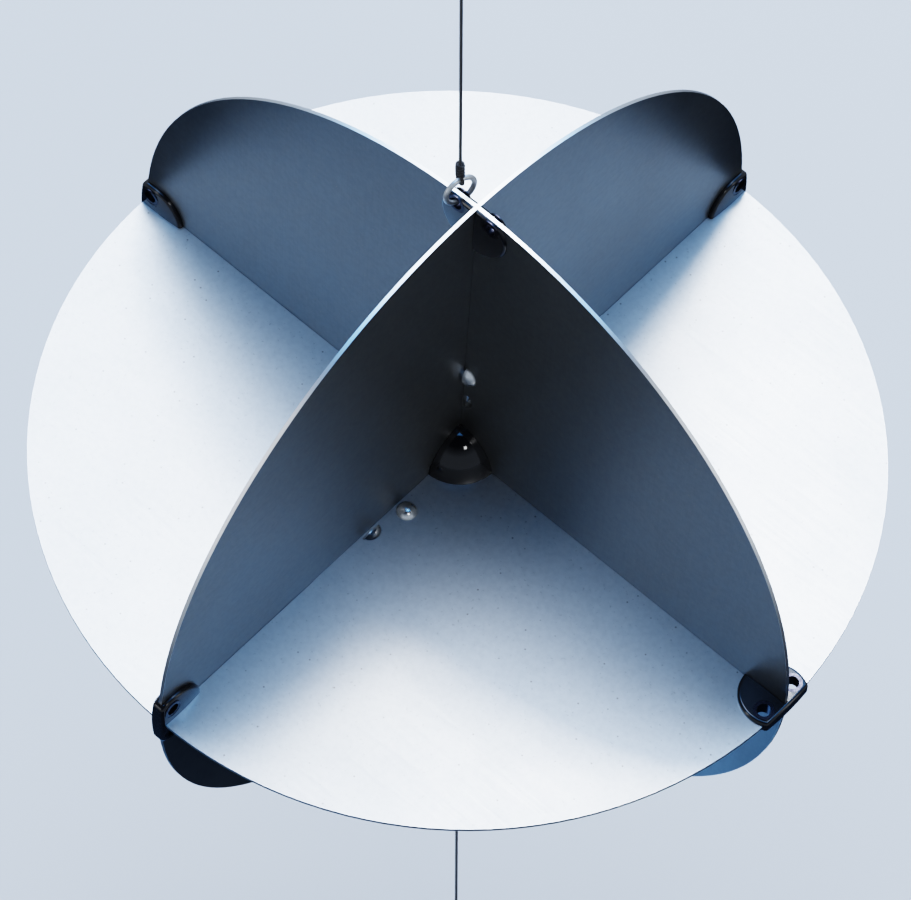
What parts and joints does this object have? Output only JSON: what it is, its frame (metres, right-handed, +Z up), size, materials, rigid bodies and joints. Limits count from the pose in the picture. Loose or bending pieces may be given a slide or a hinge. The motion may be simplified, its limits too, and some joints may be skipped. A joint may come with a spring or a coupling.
{
  "type": "radar reflector",
  "caption": "Octahedral marine radar reflector of crossed round aluminium plates with black corner catches, hung corner up on a thin line.",
  "frame": {"origin": "common centre of the crossed plates", "axes": "+Z up along the hoist line; +Y along the crossing of the equator plate and the half plates, towards the north half; +X east, leaning 2.9 degrees below the equator plate's own edge as it hangs"},
  "size_m": [0.3203, 0.3204, 0.676],
  "materials": {
    "plate": "satin rolled sheet",
    "catch": "glossy black moulding",
    "hub": "glossy black moulding",
    "hub_pin": "plain pin",
    "eyelet": "darkened",
    "ring": "polished stainless",
    "line": "black twisted cord"
  },
  "bodies": {
    "hoist": {"hoist_ring": "ring", "hoist_knot": "line", "hoist_line": "line", "hoist_end_loop": "line"},
    "reflector": {"equator_plate": "plate", "meridian_plate": "plate", "hub_upper_south_quarter": "hub", "hub_upper_north_quarter": "hub", "hub_lower_south_quarter": "hub", "hub_lower_north_quarter": "hub", "hub_pin_south": "hub_pin", "hub_pin_north": "hub_pin", "corner_catch_east": "catch", "corner_catch_west": "catch", "top_guide_blocks": "catch", "bottom_guide_blocks": "catch", "eyelets_east": "eyelet", "eyelets_west": "eyelet", "eyelets_top": "eyelet", "eyelets_bottom": "eyelet"},
    "south_half": {"south_half_plate": "plate", "corner_catch_south": "catch", "eyelets_south": "eyelet"},
    "north_half": {"north_half_plate": "plate", "corner_catch_north": "catch", "eyelets_north": "eyelet"},
    "downhaul": {"downhaul_ring": "ring", "downhaul_knot": "line", "downhaul_line": "line", "downhaul_end_loop": "line"}
  },
  "joints": [
    {"name": "reflector_swing", "type": "hinge", "parent": "hoist", "child": "reflector", "pos_m": [0, 0, 0.1551], "axis": [0, 1, 0], "range_deg": [-30, 30]},
    {"name": "south_half_slide", "type": "slide", "parent": "reflector", "child": "south_half", "axis": [0, -1, 0], "range_m": [0, 0.085]},
    {"name": "north_half_slide", "type": "slide", "parent": "reflector", "child": "north_half", "axis": [0, 1, 0], "range_m": [0, 0.085]},
    {"name": "downhaul_swing", "type": "hinge", "parent": "reflector", "child": "downhaul", "pos_m": [0, 0, -0.1551], "axis": [0, 1, 0], "range_deg": [-30, 30]}
  ]
}
